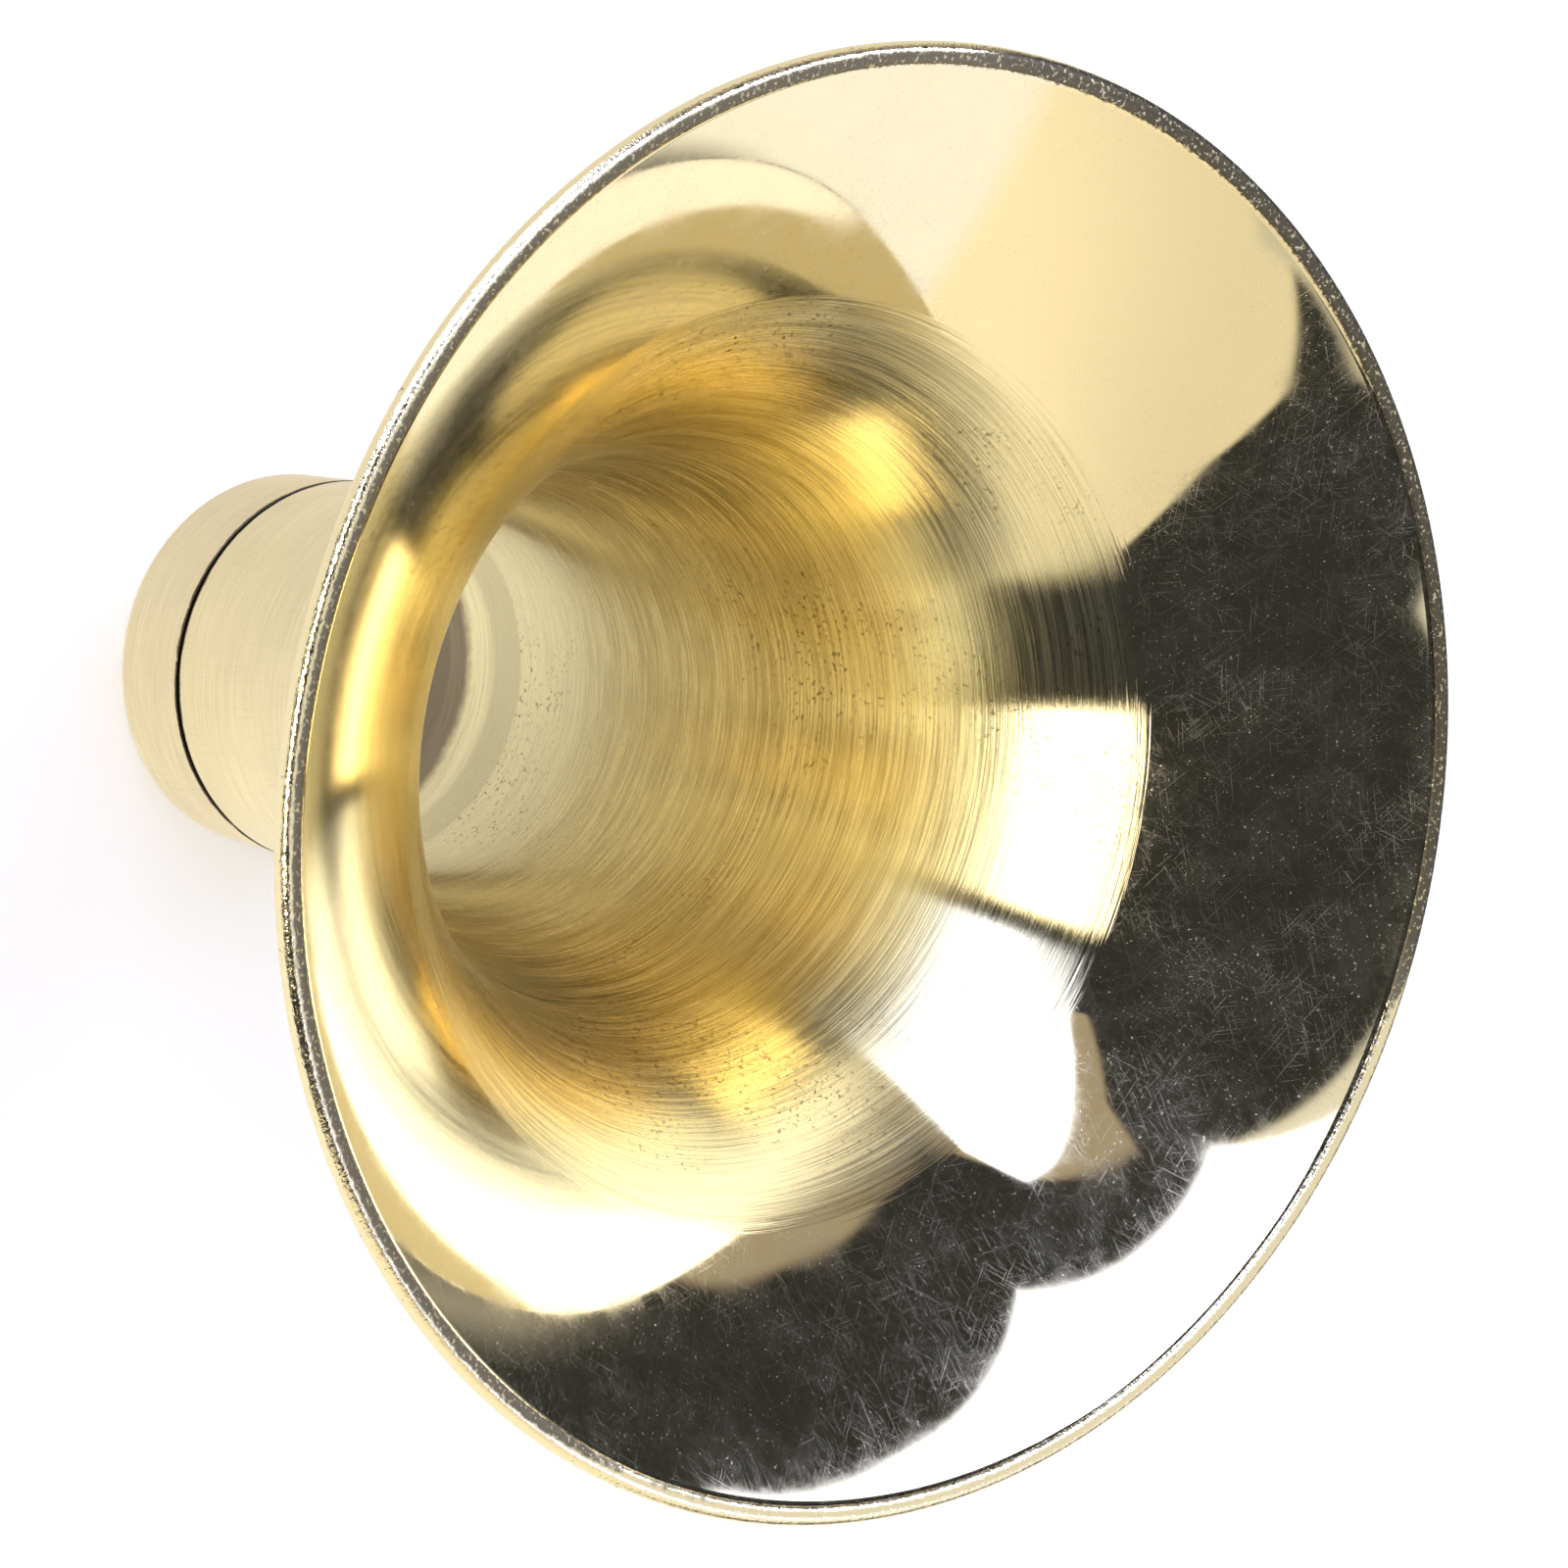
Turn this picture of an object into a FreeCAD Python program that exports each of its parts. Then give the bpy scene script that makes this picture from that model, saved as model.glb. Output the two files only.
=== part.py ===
import FreeCAD, Part
import math
import os

# Detached brass horn bell, standing on its ferrule with the mouth up.
# Origin: centre of the ferrule's end face. +Z runs up the axis to the mouth.
# Four pieces: the spun bell, the wire rolled into its rim, the turned ferrule
# that closes the neck, and the solder that joins ferrule and neck.
# Lengths are in millimetres.

# Driving dimensions
mouth_diameter = 120.0        # over the rolled rim
rim_plane_height = 91.8       # centre plane of the rolled rim above the ferrule's end
sheet = 0.5                   # brass sheet, the same thickness all over the bell
bead_radius = 1.0             # outside of the rolled rim's section
bead_standing_proud = 0.05    # how far the roll stands over the flare's inner face
bead_sheet_angle = 57.0       # flare's angle from the axis where it meets the roll
roll_end_angle = -165.0       # where the rolled sheet's edge stops, round the wire
wire_clearance = 0.02         # wire to rolled sheet

neck_outer_radius = 17.5      # at the joint with the ferrule
neck_taper = 0.03             # radius lost per millimetre towards the ferrule
joint_height = 10.0           # middle of the joint above the ferrule's end
joint_gap = 0.6               # width of the groove that shows the solder
joint_depth = 0.3             # depth of the groove over the solder

ferrule_end_radius = 17.2
ferrule_edge_round = 0.6
socket_radius = 16.2          # bore that takes the instrument's stem
socket_length = 7.0
spigot_height = 4.0           # part of the ferrule inside the neck
spigot_lip = 0.08             # thickness the spigot is feathered down to
solder_film = 0.05            # between spigot and neck
socket_chamfer = 0.3          # at the mouth of the socket

# Inner face of the bell: distance below the rim plane, and radius
flare_stations = [
    (9.0, 45.2),
    (16.2, 37.3),
    (24.0, 30.8),
    (33.0, 26.0),
    (46.0, 22.2),
    (58.0, 19.3),
    (68.0, 17.6),
]

Z = FreeCAD.Vector(0, 0, 1)
ORIGIN = FreeCAD.Vector(0, 0, 0)


def at(radius, height):
    """Point of the section, in the XZ plane."""
    return FreeCAD.Vector(radius, 0, height)


def line(start, end):
    return Part.LineSegment(start, end).toShape()


def turned(edges):
    """Solid of revolution about Z from the edges of a closed section."""
    return Part.Face(Part.Wire(edges)).revolve(ORIGIN, Z, 360)


def arc_about(centre, radius, start_degrees, end_degrees):
    """Arc in the section plane, from start to end by way of their middle."""
    def point(degrees):
        angle = math.radians(degrees)
        return at(centre.x + radius * math.cos(angle), centre.z + radius * math.sin(angle))
    middle_degrees = (start_degrees + end_degrees) / 2
    return Part.Arc(point(start_degrees), point(middle_degrees), point(end_degrees)).toShape()


# Rolled rim: centre of its section, and the flare's two faces where they reach it
bead_centre = at(mouth_diameter / 2 - bead_radius, rim_plane_height)
sheet_along = FreeCAD.Vector(
    math.sin(math.radians(bead_sheet_angle)), 0, math.cos(math.radians(bead_sheet_angle)))
sheet_up = FreeCAD.Vector(-sheet_along.z, 0, sheet_along.x)
wire_channel_radius = bead_radius - sheet


def where_sheet_meets(circle_radius):
    """Point and angle where a face of the flare meets a circle of the roll."""
    height = circle_radius - bead_standing_proud
    back = math.sqrt(circle_radius ** 2 - height ** 2)
    offset = sheet_up * height - sheet_along * back
    degrees = math.degrees(math.atan2(offset.z, offset.x))
    return bead_centre + offset, degrees


inner_lip, inner_lip_degrees = where_sheet_meets(bead_radius)
outer_lip, outer_lip_degrees = where_sheet_meets(wire_channel_radius)


# Inner face of the bell as one smooth curve from the neck's end to the roll
joint_top = joint_height + joint_gap / 2
joint_bottom = joint_height - joint_gap / 2
neck_inner_radius = neck_outer_radius - sheet
inner_points = [at(neck_inner_radius, joint_top)]
for depth, radius in reversed(flare_stations):
    inner_points.append(at(radius, rim_plane_height - depth))
inner_points.append(inner_lip)
neck_along = FreeCAD.Vector(neck_taper, 0, 1)
inner_curve = Part.BSplineCurve()
inner_curve.interpolate(
    Points=inner_points,
    InitialTangent=neck_along,
    FinalTangent=sheet_along,
)


def offset_point(curve, parameter, distance):
    """Point at a distance from the curve, on the side away from the axis."""
    tangent = curve.tangent(parameter)[0]
    tangent.normalize()
    return curve.value(parameter) + FreeCAD.Vector(tangent.z, 0, -tangent.x) * distance


# Outer face: the inner one moved out by the sheet's thickness
outer_samples = 40
first = inner_curve.FirstParameter
span = inner_curve.LastParameter - first
outer_points = []
for step in range(outer_samples):
    outer_points.append(offset_point(inner_curve, first + span * step / outer_samples, sheet))
outer_points.append(outer_lip)
outer_curve = Part.BSplineCurve()
outer_curve.interpolate(
    Points=outer_points,
    InitialTangent=neck_along,
    FinalTangent=sheet_along,
)


def make_bell():
    """Spun sheet: neck, throat and flare, rolled back round the wire at the rim."""
    rolled_outside = arc_about(bead_centre, bead_radius, inner_lip_degrees, roll_end_angle)
    rolled_inside = arc_about(bead_centre, wire_channel_radius, roll_end_angle, outer_lip_degrees)
    roll_edge = line(rolled_outside.lastVertex().Point, rolled_inside.firstVertex().Point)
    neck_edge = line(outer_points[0], inner_points[0])
    return turned([
        inner_curve.toShape(),
        rolled_outside,
        roll_edge,
        rolled_inside,
        outer_curve.toShape(),
        neck_edge,
    ])


def make_rim_wire():
    """Wire hoop inside the rolled rim."""
    return Part.makeTorus(
        bead_centre.x, wire_channel_radius - wire_clearance, ORIGIN + Z * rim_plane_height)


def make_ferrule():
    """Turned ring with a socket, and a feathered spigot that fits inside the neck."""
    spigot_radius = neck_inner_radius - solder_film
    spigot_top = joint_top + spigot_height
    corners = [
        at(socket_radius + socket_chamfer, 0),
        at(ferrule_end_radius, 0),
        at(neck_outer_radius, joint_bottom),
        at(spigot_radius, joint_bottom),
        at(spigot_radius, spigot_top),
        at(spigot_radius - spigot_lip, spigot_top),
        at(socket_radius, socket_length),
        at(socket_radius, socket_chamfer),
    ]
    edges = []
    for index, corner in enumerate(corners):
        edges.append(line(corner, corners[(index + 1) % len(corners)]))
    ring = turned(edges)
    end_edge = []
    for edge in ring.Edges:
        is_circle = isinstance(edge.Curve, Part.Circle)
        if is_circle and abs(edge.Curve.Radius - ferrule_end_radius) < 0.01:
            end_edge.append(edge)
    return ring.makeFillet(ferrule_edge_round, end_edge).Solids[0]


def make_solder():
    """Ring of solder at the bottom of the joint, between neck edge and shoulder."""
    inside = neck_inner_radius - solder_film
    outside = neck_outer_radius - joint_depth
    base = ORIGIN + Z * joint_bottom
    ring = Part.makeCylinder(outside, joint_gap, base, Z)
    hole = Part.makeCylinder(inside, joint_gap, base, Z)
    return ring.cut(hole).Solids[0]


pieces = {
    "bell_flare": make_bell(),
    "rim_wire": make_rim_wire(),
    "neck_ferrule": make_ferrule(),
    "solder_seam": make_solder(),
}

os.makedirs("parts", exist_ok=True)
for name, shape in pieces.items():
    shape.exportStep("parts/%s.step" % name)
    box = shape.BoundBox
    print("%-14s %-9s valid %s  %.2f mm3  z %.2f to %.2f  r %.2f" % (
        name, shape.ShapeType, shape.isValid(), shape.Volume, box.ZMin, box.ZMax, box.XMax))
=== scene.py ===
import math

import bpy
import numpy as np
from mathutils import Matrix, Vector


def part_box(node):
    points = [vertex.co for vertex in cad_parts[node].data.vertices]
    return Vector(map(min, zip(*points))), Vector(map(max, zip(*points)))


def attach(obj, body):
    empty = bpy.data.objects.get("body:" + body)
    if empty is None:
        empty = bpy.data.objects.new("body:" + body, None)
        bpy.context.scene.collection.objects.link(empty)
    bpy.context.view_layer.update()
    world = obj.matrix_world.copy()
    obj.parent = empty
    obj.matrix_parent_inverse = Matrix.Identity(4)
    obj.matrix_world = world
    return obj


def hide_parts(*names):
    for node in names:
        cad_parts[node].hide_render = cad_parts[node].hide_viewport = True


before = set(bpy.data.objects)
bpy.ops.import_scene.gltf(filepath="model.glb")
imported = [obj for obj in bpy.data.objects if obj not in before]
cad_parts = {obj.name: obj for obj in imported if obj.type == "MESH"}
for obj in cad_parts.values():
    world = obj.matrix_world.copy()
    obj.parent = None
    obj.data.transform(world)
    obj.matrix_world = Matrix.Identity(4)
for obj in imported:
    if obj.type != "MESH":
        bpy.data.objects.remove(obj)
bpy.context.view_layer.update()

# ---------------------------------------------------------------- sizes
# Metres, in the CAD frame: the bell stands on its ferrule, mouth up, axis on Z.
MM = 0.001
bell_low, bell_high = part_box("bell_flare")
ferrule_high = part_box("neck_ferrule")[1]
wire_low, wire_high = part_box("rim_wire")
mouth_radius = min(bell_high.x, bell_high.y)
bead_radius = 1.0 * MM
sheet = 0.5 * MM
rim_height = (wire_low.z + wire_high.z) / 2
joint_top = bell_low.z
joint_gap = 0.6 * MM
neck_radius = 17.5 * MM
ferrule_end_radius = 17.2 * MM
socket_radius = 16.2 * MM
socket_length = 7.0 * MM
spigot_top = ferrule_high.z
brushed_from_radius = 37.3 * MM     # inside this radius the flare's polish stops
turns = 384                         # steps round the axis


# ---------------------------------------------------------------- profiles
def smooth_curve(points, start_slope, end_slope, count):
    """Points and tangents along a C2 cubic curve through the points, even in arc length."""
    pts = np.array(points, float)
    chord = np.linalg.norm(np.diff(pts, axis=0), axis=1)
    knots = np.concatenate([[0], np.cumsum(chord)])
    n = len(pts)
    system = np.zeros((n, n))
    right = np.zeros((n, 2))
    system[0, 0] = system[-1, -1] = 1
    right[0] = np.array(start_slope) / np.linalg.norm(start_slope)
    right[-1] = np.array(end_slope) / np.linalg.norm(end_slope)
    for i in range(1, n - 1):
        before, after = chord[i - 1], chord[i]
        system[i, i - 1] = after
        system[i, i] = 2 * (before + after)
        system[i, i + 1] = before
        right[i] = 3 * (after * (pts[i] - pts[i - 1]) / before + before * (pts[i + 1] - pts[i]) / after)
    slopes = np.linalg.solve(system, right)
    at = np.linspace(0, knots[-1], 4000)
    span = np.clip(np.searchsorted(knots, at, side="right") - 1, 0, n - 2)
    width = chord[span][:, None]
    t = ((at - knots[span]) / chord[span])[:, None]
    curve = ((2 * t**3 - 3 * t**2 + 1) * pts[span] + (t**3 - 2 * t**2 + t) * width * slopes[span]
             + (-2 * t**3 + 3 * t**2) * pts[span + 1] + (t**3 - t**2) * width * slopes[span + 1])
    length = np.concatenate([[0], np.cumsum(np.linalg.norm(np.diff(curve, axis=0), axis=1))])
    even = np.linspace(0, length[-1], count)
    out = np.stack([np.interp(even, length, curve[:, k]) for k in (0, 1)], axis=1)
    tangent = np.gradient(out, axis=0)
    tangent /= np.linalg.norm(tangent, axis=1, keepdims=True)
    tangent[0], tangent[-1] = right[0], right[-1]
    return out, tangent


def arc(centre, radius, start, end, count):
    angle = np.radians(np.linspace(start, end, count))
    return np.stack([centre[0] + radius * np.cos(angle), centre[1] + radius * np.sin(angle)], axis=1)


# Inner face: distance below the rim plane and radius, as in the CAD part
flare_stations = [(9.0, 45.2), (16.2, 37.3), (24.0, 30.8), (33.0, 26.0), (46.0, 22.2),
                  (58.0, 19.3), (68.0, 17.6)]
sheet_angle = math.radians(57.0)
bead_proud = 0.05 * MM
bead_centre = np.array([mouth_radius - bead_radius, rim_height])
along = np.array([math.sin(sheet_angle), math.cos(sheet_angle)])
upward = np.array([-along[1], along[0]])


def where_sheet_meets(circle_radius):
    height = circle_radius - bead_proud
    offset = upward * height - along * math.sqrt(circle_radius**2 - height**2)
    return bead_centre + offset, math.degrees(math.atan2(offset[1], offset[0]))


def bell_profile():
    """Closed section of the bell, from the neck's inside edge up, round the roll and back."""
    lip, lip_degrees = where_sheet_meets(bead_radius)
    back_lip, back_degrees = where_sheet_meets(bead_radius - sheet)
    inner = [(neck_radius - sheet, joint_top)]
    for depth, radius in reversed(flare_stations):
        inner.append((radius * MM, rim_height - depth * MM))
    inner.append(tuple(lip))
    neck_slope = (0.03, 1.0)
    face, tangent = smooth_curve(inner, neck_slope, along, 230)
    outside = face + np.stack([tangent[:, 1], -tangent[:, 0]], axis=1) * sheet
    outside[-1] = back_lip
    edge = outside[0]
    edge_round = [edge + (-0.06 * MM, 0), edge + (-0.02 * MM, 0.02 * MM), edge + (0, 0.06 * MM)]
    outside = np.concatenate([edge_round, outside[1:]])
    roll = arc(bead_centre, bead_radius, lip_degrees, -165, 56)
    channel = arc(bead_centre, bead_radius - sheet, -165, back_degrees, 24)
    return [("inner", face), ("roll", roll[1:]), ("roll", channel), ("outer", outside[::-1][1:])]


# ---------------------------------------------------------------- mesh
def lathe(name, stretches, materials):
    """Closed body of revolution; each stretch of the section has its own material slot."""
    points, owners = [], []
    for slot, stretch in stretches:
        for point in stretch:
            points.append(point)
            owners.append(slot)
    points = np.array(points)
    rings = len(points)
    angle = np.linspace(0, 2 * np.pi, turns, endpoint=False)
    radius = points[:, 0:1]
    height = np.repeat(points[:, 1:2], turns, axis=1)
    verts = np.stack([radius * np.cos(angle), radius * np.sin(angle), height], axis=2).reshape(-1, 3)
    ring, step = np.meshgrid(np.arange(rings), np.arange(turns), indexing="ij")
    following = (ring + 1) % rings
    turned = (step + 1) % turns
    faces = np.stack([ring * turns + step, following * turns + step,
                      following * turns + turned, ring * turns + turned], axis=2).reshape(-1, 4)
    mesh = bpy.data.meshes.new(name)
    mesh.from_pydata(verts.tolist(), [], faces.tolist())
    names = list(materials)
    for key in names:
        mesh.materials.append(materials[key])
    index = [names.index(owners[(r + 1) % rings]) for r in range(rings)]
    mesh.polygons.foreach_set("material_index", np.repeat(index, turns))
    mesh.polygons.foreach_set("use_smooth", np.ones(len(faces), bool))
    mesh.update()
    obj = bpy.data.objects.new(name, mesh)
    bpy.context.scene.collection.objects.link(obj)
    return obj


# ---------------------------------------------------------------- materials
class Nodes:
    """Short-hand for building a node tree."""

    def __init__(self, tree):
        self.tree = tree
        tree.nodes.clear()

    def add(self, kind, **values):
        node = self.tree.nodes.new(kind)
        for key, value in values.items():
            setattr(node, key, value)
        return node

    def link(self, value, socket):
        if hasattr(value, "is_output"):
            self.tree.links.new(value, socket)
        else:
            socket.default_value = value

    def math(self, operation, *values, clamp=False):
        node = self.add("ShaderNodeMath", operation=operation, use_clamp=clamp)
        for socket, value in zip(node.inputs, values):
            self.link(value, socket)
        return node.outputs[0]

    def step(self, value, low, high, out_low=0.0, out_high=1.0):
        node = self.add("ShaderNodeMapRange", interpolation_type="SMOOTHSTEP")
        for socket, item in zip(node.inputs, (value, low, high, out_low, out_high)):
            self.link(item, socket)
        return node.outputs[0]

    def mix(self, factor, first, second):
        node = self.add("ShaderNodeMix", data_type="RGBA")
        self.link(factor, node.inputs[0])
        self.link(first, node.inputs[6])
        self.link(second, node.inputs[7])
        return node.outputs[2]

    def vector(self, x, y, z):
        node = self.add("ShaderNodeCombineXYZ")
        for socket, value in zip(node.inputs, (x, y, z)):
            self.link(value, socket)
        return node.outputs[0]

    def noise(self, vector, scale, detail=3.0, rough=0.55):
        node = self.add("ShaderNodeTexNoise", noise_type="FBM")
        self.link(vector, node.inputs["Vector"])
        node.inputs["Scale"].default_value = scale
        node.inputs["Detail"].default_value = detail
        node.inputs["Roughness"].default_value = rough
        node.inputs["Distortion"].default_value = 0.0
        return node.outputs[0]


def body_coordinates(n):
    """Radius, height and angle round the axis, from the object's own coordinates."""
    place = n.add("ShaderNodeTexCoord").outputs["Object"]
    split = n.add("ShaderNodeSeparateXYZ")
    n.link(place, split.inputs[0])
    x, y, z = split.outputs
    radius = n.math("SQRT", n.math("ADD", n.math("MULTIPLY", x, x), n.math("MULTIPLY", y, y)))
    round_x = n.math("DIVIDE", x, radius)
    round_y = n.math("DIVIDE", y, radius)
    return place, radius, z, round_x, round_y


# Colours of the metal, bright first, then tarnished, dirty or darkened as painted shade
brass = (0.93, 0.805, 0.51, 1.0)
throat_brass = (0.91, 0.80, 0.475, 1.0)    # unpolished, where the throat opens
deep_brass_painted_shade = (0.885, 0.735, 0.345, 1.0)    # unpolished, in the middle of the throat; darker and more saturated as painted shade
neck_brass = (0.89, 0.78, 0.47, 1.0)       # unpolished, in the neck
bell_outside_brass = (0.92, 0.785, 0.49, 1)
ferrule_outside_brass = (0.91, 0.77, 0.50, 1)
haze_colour = (0.72, 0.68, 0.58, 1)
pit_colour = (0.20, 0.13, 0.06, 1)
crease_shade_and_dirt = (0.10, 0.075, 0.045, 1)
socket_painted_shade = (0.26, 0.20, 0.13, 1)
joint_grime = (0.05, 0.036, 0.024, 1)
rim_dirt_colour = (0.14, 0.12, 0.085, 1)
rim_dirt_painted_shade = (0.045, 0.038, 0.026, 1)
solder_low = (0.020, 0.015, 0.011, 1)
solder_high = (0.10, 0.075, 0.05, 1)
wire_dark = (0.33, 0.32, 0.30, 1)
wire_light = (0.5, 0.49, 0.47, 1)

# Relief depths
turning_depth = 0.012 * MM
grain_depth = 0.01 * MM
rim_grain_depth = 0.06 * MM
solder_depth = 0.1 * MM

# Scratches of the polished flare: heading in degrees, length in metres, rarity
scratch_width = 0.07 * MM
scratch_sets = (
    (17, 5.0 * MM, 0.66),
    (38, 3.0 * MM, 0.67),
    (71, 6.0 * MM, 0.67),
    (112, 3.5 * MM, 0.67),
    (151, 4.5 * MM, 0.66),
)


def new_material(name, anisotropic):
    material = bpy.data.materials.new(name)
    material.use_nodes = True
    n = Nodes(material.node_tree)
    shader = n.add("ShaderNodeBsdfPrincipled")
    shader.inputs["Metallic"].default_value = 1.0
    shader.inputs["Anisotropic"].default_value = anisotropic
    shader.inputs["Specular Tint"].default_value = (1, 0.97, 0.9, 1)
    output = n.add("ShaderNodeOutputMaterial")
    n.link(shader.outputs[0], output.inputs[0])
    tangent = n.add("ShaderNodeTangent", direction_type="RADIAL", axis="Z")
    n.link(tangent.outputs[0], shader.inputs["Tangent"])
    shader.inputs["Anisotropic Rotation"].default_value = 0.25
    return material, n, shader


def bump(n, height, depth):
    """Normal of a surface with the given relief, its depth in metres."""
    node = n.add("ShaderNodeBump")
    node.inputs["Strength"].default_value = 1.0
    node.inputs["Distance"].default_value = depth
    n.link(height, node.inputs["Height"])
    return node.outputs[0]


def ring_streaks(n, body, per_radian, per_metre, detail, seed):
    """Noise drawn out into streaks that run round the axis."""
    radius, z, cx, cy = body[1:]
    down_face = n.math("ADD", z, n.math("MULTIPLY", radius, 0.6))
    space = n.vector(n.math("MULTIPLY", cx, per_radian), n.math("MULTIPLY", cy, per_radian),
                     n.math("ADD", n.math("MULTIPLY", down_face, per_metre), seed))
    return n.noise(space, 1.0, detail, 0.6)


def hairlines(n, place, heading, length, width, rarity):
    """Fine straight scratches lying along one heading."""
    turn = n.add("ShaderNodeMapping", vector_type="TEXTURE")
    n.link(place, turn.inputs["Vector"])
    turn.inputs["Rotation"].default_value = (0, 0, math.radians(heading))
    turn.inputs["Scale"].default_value = (length, width, length)
    return n.step(n.noise(turn.outputs[0], 1.0, 1.5, 0.5), rarity, rarity + 0.03)


def blend_value(n, factor, first, second):
    node = n.add("ShaderNodeMix", data_type="FLOAT")
    n.link(factor, node.inputs[0])
    n.link(first, node.inputs[2])
    n.link(second, node.inputs[3])
    return node.outputs[0]


def inner_brass():
    """Mirror-polished flare with scratches and tarnish, and a throat left brushed."""
    material, n, shader = new_material("bell inside", 1.0)
    body = body_coordinates(n)
    place, radius = body[:2]

    broad = ring_streaks(n, body, 0.8, 420, 3.0, 0.0)
    fine = ring_streaks(n, body, 1.4, 3000, 4.0, 40.0)
    hair = ring_streaks(n, body, 3.0, 6000, 2.0, 80.0)
    streaks = n.math("ADD", n.math("MULTIPLY", broad, 0.22), n.math("ADD", n.math(
        "MULTIPLY", fine, 0.30), n.math("MULTIPLY", hair, 0.48)))
    edge = n.math("ADD", radius, n.math("MULTIPLY", n.math("SUBTRACT", fine, 0.5), 0.0045))
    polished = n.step(edge, brushed_from_radius - 0.4 * MM, brushed_from_radius + 1.8 * MM)

    # wear of the polished face: hairline scratches, dust specks and a cloudy tarnish
    scratches = None
    for heading, length, rarity in scratch_sets:
        lines = hairlines(n, place, heading, length, scratch_width, rarity)
        scratches = lines if scratches is None else n.math("MAXIMUM", scratches, lines)
    rubbed = n.step(n.noise(place, 90, 3.0, 0.6), 0.38, 0.64, 0.12, 0.6)
    cloud = n.step(n.noise(place, 170, 6.0, 0.7), 0.36, 0.68)
    speck_field = n.noise(place, 3600, 2.0, 0.6)
    specks = n.step(n.math("ADD", speck_field, n.math("MULTIPLY", cloud, 0.06)), 0.69, 0.75)
    worn = n.math("MULTIPLY", polished, n.math("MAXIMUM", n.math(
        "MULTIPLY", scratches, rubbed), specks), clamp=True)

    rough_polished = blend_value(n, worn, n.step(cloud, 0.0, 1.0, 0.022, 0.045), 0.12)
    deep = n.step(radius, 19 * MM, 33 * MM, 0.24, 0.15)
    rough_brushed = n.math("MULTIPLY", deep, n.step(streaks, 0.35, 0.65, 0.85, 1.2))
    n.link(blend_value(n, polished, rough_brushed, rough_polished), shader.inputs["Roughness"])

    dip = n.noise(place, 2300, 2.0, 0.6)
    pits = n.math("MULTIPLY", n.step(dip, 0.60, 0.67), n.step(n.noise(place, 42, 3.0), 0.46, 0.6))
    pits = n.math("MULTIPLY", pits, n.step(polished, 0.0, 1.0, 1.0, 0.12))
    # dark band along the crease where the flare meets the roll: painted shade, partly dirty specks
    crease = n.step(n.math("ADD", radius, n.math("MULTIPLY", dip, 0.0006)),
                    mouth_radius - 1.62 * MM, mouth_radius - 1.4 * MM)
    tone = blend_value(n, polished, n.step(streaks, 0.40, 0.60, 0.80, 1.10), 1.0)
    grey = n.add("ShaderNodeCombineColor")
    for socket in grey.inputs:
        n.link(tone, socket)
    dulled = n.add("ShaderNodeMix", data_type="RGBA", blend_type="MULTIPLY")
    dulled.inputs[0].default_value = 1.0
    # the throat's colour goes darker and more saturated between the neck and the brushed opening:
    # painted shade in the deep recess
    throat = n.mix(n.step(radius, 25 * MM, 31 * MM), n.mix(n.step(
        radius, 19 * MM, 23 * MM), neck_brass, deep_brass_painted_shade), throat_brass)
    n.link(n.mix(polished, throat, brass), dulled.inputs[6])
    n.link(grey.outputs[0], dulled.inputs[7])
    marked = n.mix(n.math("MULTIPLY", pits, 0.75), dulled.outputs[2], pit_colour)
    n.link(n.mix(crease, marked, crease_shade_and_dirt), shader.inputs["Base Color"])

    relief = n.math("MULTIPLY", n.math("ADD", hair, n.math("MULTIPLY", fine, 0.4)),
                    n.math("SUBTRACT", 1.0, polished))
    n.link(bump(n, relief, turning_depth), shader.inputs["Normal"])

    # a thin film of haze that picks up the room's light
    film = n.add("ShaderNodeBsdfPrincipled")
    film.inputs["Metallic"].default_value = 1.0
    film.inputs["Base Color"].default_value = haze_colour
    film.inputs["Roughness"].default_value = 0.6
    both = n.add("ShaderNodeMixShader")
    haze = n.math("MULTIPLY", polished, n.step(cloud, 0.0, 1.0, 0.002, 0.016))
    n.link(n.math("ADD", haze, n.math("MULTIPLY", worn, 0.28)), both.inputs[0])
    n.link(shader.outputs[0], both.inputs[1])
    n.link(film.outputs[0], both.inputs[2])
    n.link(both.outputs[0], n.tree.nodes["Material Output"].inputs[0])
    return material


def socket_brass():
    """Inside of the ferrule: brushed like the throat, then darker in the socket as painted shade."""
    material, n, shader = new_material("ferrule inside", 1.0)
    body = body_coordinates(n)
    place, z = body[0], body[2]
    fine = ring_streaks(n, body, 2.5, 2600, 3.0, 40.0)
    n.link(n.step(fine, 0.3, 0.7, 0.20, 0.29), shader.inputs["Roughness"])
    # below the socket's top edge the colour darkens: painted shade in the recess, its edge made uneven
    # by noise
    grime_and_painted_shade = n.noise(place, 700, 4.0, 0.7)
    low = n.step(n.math("ADD", z, n.math("MULTIPLY", grime_and_painted_shade, 0.0012)),
                 socket_length - 0.2 * MM, socket_length + 1.6 * MM, 1.0, 0.0)
    n.link(n.mix(low, neck_brass, socket_painted_shade), shader.inputs["Base Color"])
    n.link(bump(n, fine, grain_depth), shader.inputs["Normal"])
    return material


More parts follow.
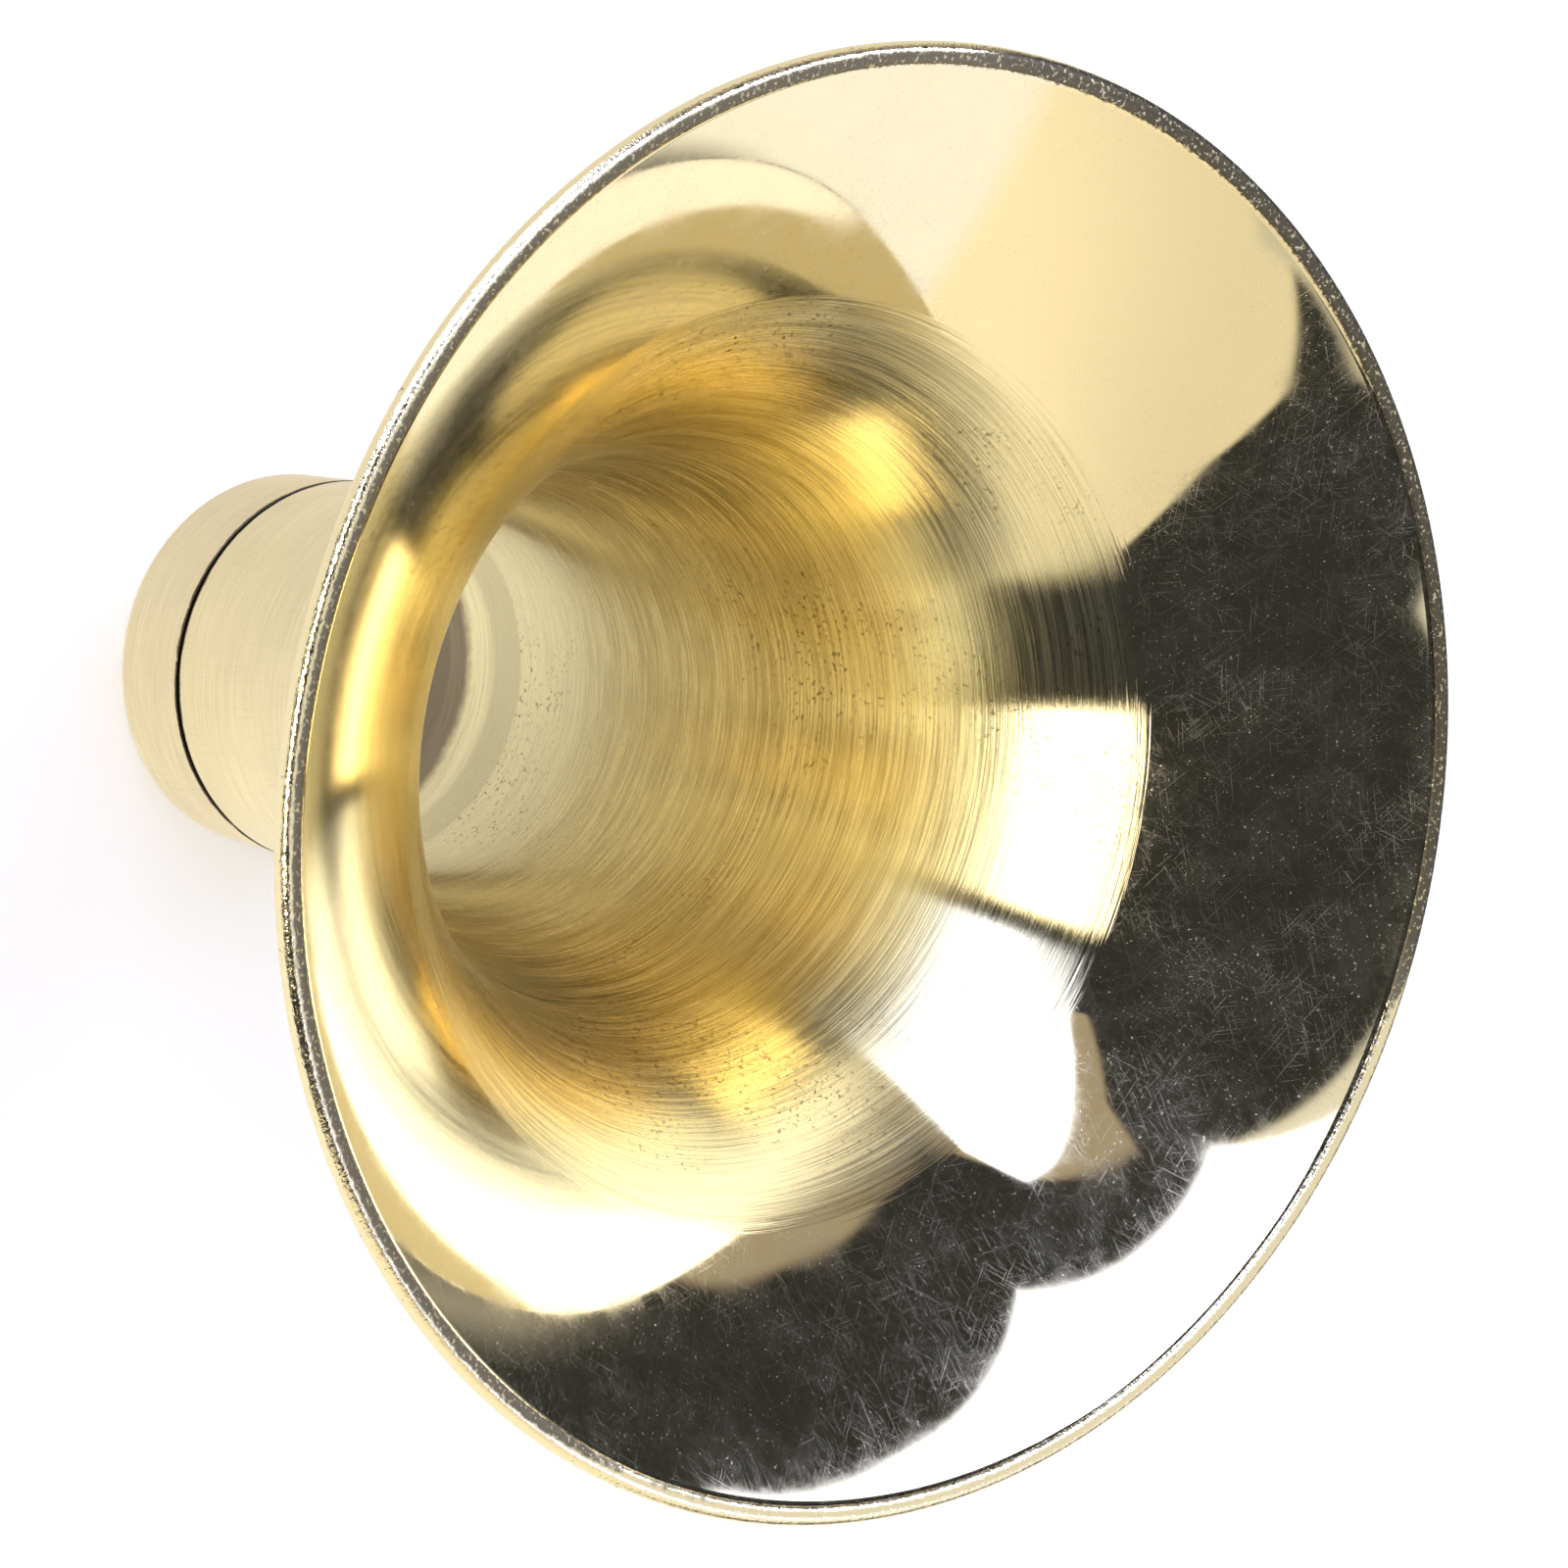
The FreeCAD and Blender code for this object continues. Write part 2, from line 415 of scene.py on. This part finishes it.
def outer_brass(name, grain_scale, roughness_low, roughness_high, tint):
    """Satin brass: turned grain, faint blotches of handling, grime in the joint."""
    material, n, shader = new_material(name, 0.6)
    body = body_coordinates(n)
    place, z = body[0], body[2]
    grain = ring_streaks(n, body, 2.2, grain_scale, 3.0, 10.0)
    rub = hairlines(n, place, 63, 0.006, 0.00012, 0.60)
    blotch = n.noise(place, 75, 5.0, 0.6)
    n.link(n.step(n.math("ADD", n.math("MULTIPLY", grain, 0.6), n.math("MULTIPLY", blotch, 0.4)),
                  0.3, 0.7, roughness_low, roughness_high), shader.inputs["Roughness"])
    darker = tuple(0.86 * c for c in tint[:3]) + (1,)
    tone = n.math("ADD", n.math("MULTIPLY", n.step(grain, 0.3, 0.7), 0.6),
                  n.math("MULTIPLY", n.step(blotch, 0.35, 0.7), 0.4))
    plain = n.mix(n.math("ADD", tone, n.math("MULTIPLY", rub, 0.25)), tint, darker)
    uneven = n.math("MULTIPLY", n.math("SUBTRACT", n.noise(place, 420, 4.0, 0.7), 0.5), 0.7 * MM)
    from_joint = n.math("ADD", n.math("ABSOLUTE", n.math("SUBTRACT", z, joint_top - 0.3 * MM)), uneven)
    grime_and_painted_shade = n.step(from_joint, 0.36 * MM, 0.62 * MM, 0.95, 0.0)
    n.link(n.mix(grime_and_painted_shade, plain, joint_grime), shader.inputs["Base Color"])
    n.link(bump(n, grain, grain_depth), shader.inputs["Normal"])
    return material


def rim_brass():
    """Rolled rim: clean on its outer flank, worn, speckled and dirty on top and inside; the dark cover
    there is partly painted shade, darker and wider on one side of the ring and pulled back on another
    as painted light.
    """
    material, n, shader = new_material("rolled rim", 0.2)
    place, radius, z, cx, cy = body_coordinates(n)
    knocks = n.noise(place, 1100, 4.0, 0.7)
    grains = n.noise(place, 2600, 2.0, 0.6)
    out = n.math("DIVIDE", n.math("SUBTRACT", radius, mouth_radius - bead_radius), bead_radius)
    above = n.math("DIVIDE", n.math("SUBTRACT", z, rim_height), bead_radius)
    facing_in = n.math("ADD", n.math("MULTIPLY", out, -0.42), n.math("MULTIPLY", above, 0.91))
    patchy = n.math("MULTIPLY", n.noise(place, 60), 0.5)
    # one side of the ring carries painted shade, a dark reflection: there the cover is darker and
    # reaches further out; on another side it is pulled back as painted light
    towards_shade_side = n.math("MULTIPLY", n.math("SUBTRACT", cy, cx), 0.71)
    towards_light_side = n.math("MULTIPLY", n.math("ADD", cy, cx), 0.71)
    painted_shade_side = n.step(n.math("ADD", towards_shade_side, patchy), 0.75, 1.1)
    painted_light_side = n.step(n.math("ADD", towards_light_side, patchy), 0.55, 0.95)
    reach = n.math("SUBTRACT", n.math("MULTIPLY", painted_shade_side, 0.85), n.math(
        "MULTIPLY", painted_light_side, 0.28))
    # dark cover on top and inside the roll: partly dirty specks, partly painted shade
    dirt_and_painted_shade = n.step(n.math("ADD", reach, n.math("ADD", facing_in, n.math("MULTIPLY", knocks, 0.4))),
                  0.92, 1.06, 0.0, 0.92)
    bare = n.step(grains, 0.56, 0.66)
    cover = n.math("MAXIMUM", n.math("MULTIPLY", dirt_and_painted_shade, n.math("SUBTRACT", 1.0, n.math(
        "MULTIPLY", bare, 0.6))), n.step(knocks, 0.64, 0.74))
    n.link(blend_value(n, cover, n.step(knocks, 0.35, 0.6, 0.10, 0.22), 0.5),
           shader.inputs["Roughness"])
    # darker colour on the painted shade side of the ring
    rim_dirt_and_painted_shade = n.mix(painted_shade_side, rim_dirt_colour, rim_dirt_painted_shade)
    n.link(n.mix(cover, brass, rim_dirt_and_painted_shade), shader.inputs["Base Color"])
    n.link(bump(n, grains, rim_grain_depth), shader.inputs["Normal"])
    return material


def solder_metal():
    material, n, shader = new_material("tarnished solder", 0.0)
    place = n.add("ShaderNodeTexCoord").outputs["Object"]
    lumps = n.noise(place, 1400, 5.0, 0.7)
    n.link(n.mix(n.step(lumps, 0.45, 0.7), solder_low, solder_high), shader.inputs["Base Color"])
    n.link(n.step(lumps, 0.3, 0.7, 0.55, 0.3), shader.inputs["Roughness"])
    n.link(bump(n, lumps, solder_depth), shader.inputs["Normal"])
    return material


def drawn_wire():
    material, n, shader = new_material("drawn wire", 0.5)
    place = n.add("ShaderNodeTexCoord").outputs["Object"]
    scale = n.noise(place, 900, 3.0)
    n.link(n.mix(scale, wire_dark, wire_light), shader.inputs["Base Color"])
    n.link(n.step(scale, 0.3, 0.7, 0.3, 0.5), shader.inputs["Roughness"])
    return material


# ---------------------------------------------------------------- the bell
bell = lathe("bell_shell", bell_profile(), {
    "inner": inner_brass(),
    "roll": rim_brass(),
    "outer": outer_brass("bell outside", 3600, 0.16, 0.30, bell_outside_brass),
})
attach(bell, "root")
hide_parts("bell_flare")


# ---------------------------------------------------------------- the ferrule
def rounded(corners, radius, count=6):
    """Section through the corners, each one rounded by a small arc."""
    points = []
    total = len(corners)
    for i, corner in enumerate(corners):
        corner = np.array(corner)
        before = np.array(corners[i - 1]) - corner
        after = np.array(corners[(i + 1) % total]) - corner
        reach = min(radius[i], 0.45 * np.linalg.norm(before), 0.45 * np.linalg.norm(after))
        first = corner + before / np.linalg.norm(before) * reach
        last = corner + after / np.linalg.norm(after) * reach
        for t in np.linspace(0, 1, count):
            points.append((1 - t)**2 * first + 2 * t * (1 - t) * corner + t**2 * last)
    return np.array(points)


joint_bottom = joint_top - joint_gap
spigot_radius = neck_radius - sheet - 0.05 * MM
feather = neck_radius - sheet + 0.03 * (spigot_top - joint_top)
ferrule_outside = rounded(
    [(socket_radius + 0.1 * MM, 0.0), (ferrule_end_radius, 0.0), (neck_radius, joint_bottom),
     (spigot_radius, joint_bottom), (spigot_radius, joint_top), (feather, spigot_top)],
    [0.0, 0.6 * MM, 0.15 * MM, 0.02 * MM, 0.02 * MM, 0.0])
ferrule_inside = rounded(
    [(feather - 0.004 * MM, spigot_top), (socket_radius, socket_length),
     (socket_radius, 0.3 * MM)],
    [0.0, 1.2 * MM, 0.0])
ferrule = lathe("ferrule_ring", [("outside", ferrule_outside), ("inside", ferrule_inside)], {
    "outside": outer_brass("ferrule brass", 3000, 0.22, 0.40, ferrule_outside_brass),
    "inside": socket_brass(),
})
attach(ferrule, "root")
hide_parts("neck_ferrule")

seam_corners = [
    (spigot_radius, joint_bottom), (neck_radius - 0.3 * MM, joint_bottom),
    (neck_radius - 0.3 * MM, joint_top), (spigot_radius, joint_top),
]
seam = lathe("solder_ring", [("solder", rounded(seam_corners, [0.05 * MM] * 4))],
             {"solder": solder_metal()})
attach(seam, "root")
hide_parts("solder_seam")

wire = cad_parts["rim_wire"]
wire.data.materials.clear()
wire.data.materials.append(drawn_wire())


# ---------------------------------------------------------------- studio
def panel(n, place, corners, soft=0.8):
    """Mask of a flat panel: a convex outline, anticlockwise, in degrees from straight up."""
    mask = None
    for i, (x, y) in enumerate(corners):
        next_x, next_y = corners[(i + 1) % len(corners)]
        size = math.hypot(next_x - x, next_y - y)
        inward = (-(next_y - y) / size, (next_x - x) / size)
        dot = n.add("ShaderNodeVectorMath", operation="DOT_PRODUCT")
        n.link(place, dot.inputs[0])
        dot.inputs[1].default_value = (inward[0], inward[1], -(inward[0] * x + inward[1] * y))
        side = n.step(dot.outputs["Value"], -soft, soft)
        mask = side if mask is None else n.math("MULTIPLY", mask, side)
    return mask


def sector(n, tilt, u, v, first, last, near, far, soft=1.0, fade=1.0):
    """Mask of a strip between two headings (degrees from +X) and two tilts from straight up."""
    mask = n.math("MULTIPLY", n.step(tilt, near - fade, near + fade),
                  n.step(tilt, far - fade, far + fade, 1.0, 0.0))
    for heading, sign in ((first, 1.0), (last, -1.0)):
        x = -sign * math.sin(math.radians(heading))
        y = sign * math.cos(math.radians(heading))
        across = n.math("ADD", n.math("MULTIPLY", u, x), n.math("MULTIPLY", v, y))
        mask = n.math("MULTIPLY", mask, n.step(across, -soft, soft))
    return mask


def studio_world():
    """Soft panels and dark gaps round the bell; directions are degrees away from +Z."""
    world = bpy.data.worlds.new("studio")
    world.use_nodes = True
    n = Nodes(world.node_tree)
    split = n.add("ShaderNodeSeparateXYZ")
    n.link(n.add("ShaderNodeTexCoord").outputs["Generated"], split.inputs[0])
    x, y, z = split.outputs
    flat = n.math("MAXIMUM", n.math("SQRT", n.math(
        "ADD", n.math("MULTIPLY", x, x), n.math("MULTIPLY", y, y))), 1e-4)
    tilt = n.math("MULTIPLY", n.math("ARCCOSINE", z), 180 / math.pi)
    u = n.math("MULTIPLY", tilt, n.math("DIVIDE", x, flat))
    v = n.math("MULTIPLY", tilt, n.math("DIVIDE", y, flat))
    place = n.vector(u, v, 1.0)

    tan = (0.40, 0.35, 0.30, 1)
    shade = (0.66, 0.64, 0.58, 1)
    dark = (0.030, 0.033, 0.036, 1)
    paper = (0.85, 0.85, 0.85, 1)
    edge_glow = (1.35, 1.5, 2.3, 1)
    bright = (2.5, 2.8, 4.2, 1)
    strip_light = (8.2, 7.6, 6.6, 1)
    dark_wall = (0.10, 0.10, 0.10, 1)
    wall_left = (0.86, 0.84, 0.80, 1)
    wall_right = (1.12, 1.10, 1.05, 1)
    pale = n.mix(n.step(x, -0.8, 0.8), wall_left, wall_right)
    table_near = (0.87, 0.81, 0.67, 1)
    table_low = (1.13, 1.05, 0.89, 1)
    table_far = (1.09, 1.12, 1.24, 1)
    table = n.mix(n.step(tilt, 50.0, 74.0), table_near, table_low)
    table = n.mix(n.step(v, 44.5, 51.0), table, table_far)
    light = tan

    def lay(mask, colour):
        nonlocal light
        light = n.mix(mask, light, colour)

    # the dark studio beyond the panels
    lay(panel(n, place, [(-66, 20), (-66, -100), (60, -100), (80, 0), (50, 60), (-10, 92),
                         (-24, 88), (-45, 75), (-58, 60), (-65, 35)], 0.8), dark)
    # pale table beside the bell: its near edge has one notch
    lay(panel(n, place, [(0, 130), (45.3, 14), (130, 14), (130, 130)], 0.5), table)
    lay(panel(n, place, [(45.4, 26), (45, 0), (60, -34), (130, -34), (130, 26)], 0.4), table)
    lay(panel(n, place, [(48.5, 4), (48.7, -10), (52, -32), (130, -32), (130, 4)], 0.4), table)
    # softbox over the mouth: its left part is the brightest, its right edge shaded
    lay(panel(n, place, [(-30, -19.5), (0, -20), (24, -15), (34, 0), (45, 20), (20, 80),
                         (-33, 68)], 0.5),
        paper)
    lay(panel(n, place, [(20, -13), (27, -9), (34, 1), (45, 20), (42, 50), (20, 50)], 0.6),
        edge_glow)
    lay(panel(n, place, [(33, -3), (40, 1.5), (47, 17), (46, 24), (34.5, 23)], 0.5), shade)
    lay(panel(n, place, [(-51.3, 2), (-30, -19.5), (-17, -17), (-31, 20)], 0.5), bright)
    lay(panel(n, place, [(-51.3, 2), (-31, 0), (-31, 70), (-46, 50), (-49, 37), (-50.6, 28)],
              0.5), bright)
    # grey card and window light low on the left
    lay(panel(n, place, [(-67, -4), (-80, -60), (-37, -60), (-37, -15.5), (-48, -13), (-58, -7)],
              0.3), tan)
    lay(panel(n, place, [(-60, -60), (-31, -36), (-37.3, -24), (-60, -20)], 0.3), tan)
    lay(panel(n, place, [(-58, -12), (-80, -28), (-75, -80), (-41, -80), (-25.8, -50), (-46, -16),
                         (-50, -11.8)], 0.4), bright)
    # wide strip light below the camera
    lay(sector(n, tilt, u, v, -112, -61, 50.5, 64.5, 1.0, 2.4), strip_light)
    # pale studio floor and walls all round, below the bell's mouth
    lay(n.step(tilt, 82.0, 94.0), pale)
    # the dark studio wall behind, level with the rim
    lay(sector(n, tilt, u, v, 30, 150, 88.0, 108.0, 2.0, 2.0), dark_wall)

    seen = n.add("ShaderNodeLightPath")
    studio = n.add("ShaderNodeBackground")
    n.link(light, studio.inputs["Color"])
    backdrop = n.add("ShaderNodeBackground")
    backdrop.inputs["Color"].default_value = (1, 1, 1, 1)
    backdrop.inputs["Strength"].default_value = 1.0
    choose = n.add("ShaderNodeMixShader")
    n.link(seen.outputs["Is Camera Ray"], choose.inputs[0])
    n.link(studio.outputs[0], choose.inputs[1])
    n.link(backdrop.outputs[0], choose.inputs[2])
    output = n.add("ShaderNodeOutputWorld")
    n.link(choose.outputs[0], output.inputs[0])
    bpy.context.scene.world = world


def pale_floor():
    size = 4.0
    mesh = bpy.data.meshes.new("floor")
    mesh.from_pydata([(-size, -size, 0), (size, -size, 0), (size, size, 0), (-size, size, 0)],
                     [], [(0, 1, 2, 3)])
    floor = bpy.data.objects.new("floor", mesh)
    bpy.context.scene.collection.objects.link(floor)
    material = bpy.data.materials.new("pale floor")
    material.use_nodes = True
    shader = material.node_tree.nodes["Principled BSDF"]
    shader.inputs["Base Color"].default_value = (0.93, 0.93, 0.92, 1)
    shader.inputs["Roughness"].default_value = 0.8
    shader.inputs["Emission Color"].default_value = (1, 1, 1, 1)
    shader.inputs["Emission Strength"].default_value = 0.15
    mesh.materials.append(material)
    floor.visible_glossy = False


def camera():
    """Long lens, 51 degrees up from the floor and turned so the neck points left."""
    elevation = math.radians(51.16)
    roll = math.radians(102.28)
    distance = 472.3 * MM
    side_step = 9.74 * MM
    drop = 0.71 * MM
    forward = Vector((0, math.cos(elevation), -math.sin(elevation)))
    level = Vector((1, 0, 0))
    upright = Vector((0, math.sin(elevation), math.cos(elevation)))
    right = level * math.cos(roll) + upright * math.sin(roll)
    up = upright * math.cos(roll) - level * math.sin(roll)
    rim_centre = Vector((0, 0, rim_height))
    place = rim_centre - forward * distance - right * side_step + up * drop
    data = bpy.data.cameras.new("camera")
    data.sensor_width = 36.0
    data.lens = 135.0
    data.clip_start = 0.01
    data.clip_end = 100.0
    obj = bpy.data.objects.new("camera", data)
    rotation = Matrix((right, up, -forward)).transposed().to_4x4()
    obj.matrix_world = Matrix.Translation(place) @ rotation
    bpy.context.scene.collection.objects.link(obj)
    bpy.context.scene.camera = obj


studio_world()
pale_floor()
camera()
bpy.context.scene.view_settings.view_transform = "Standard"
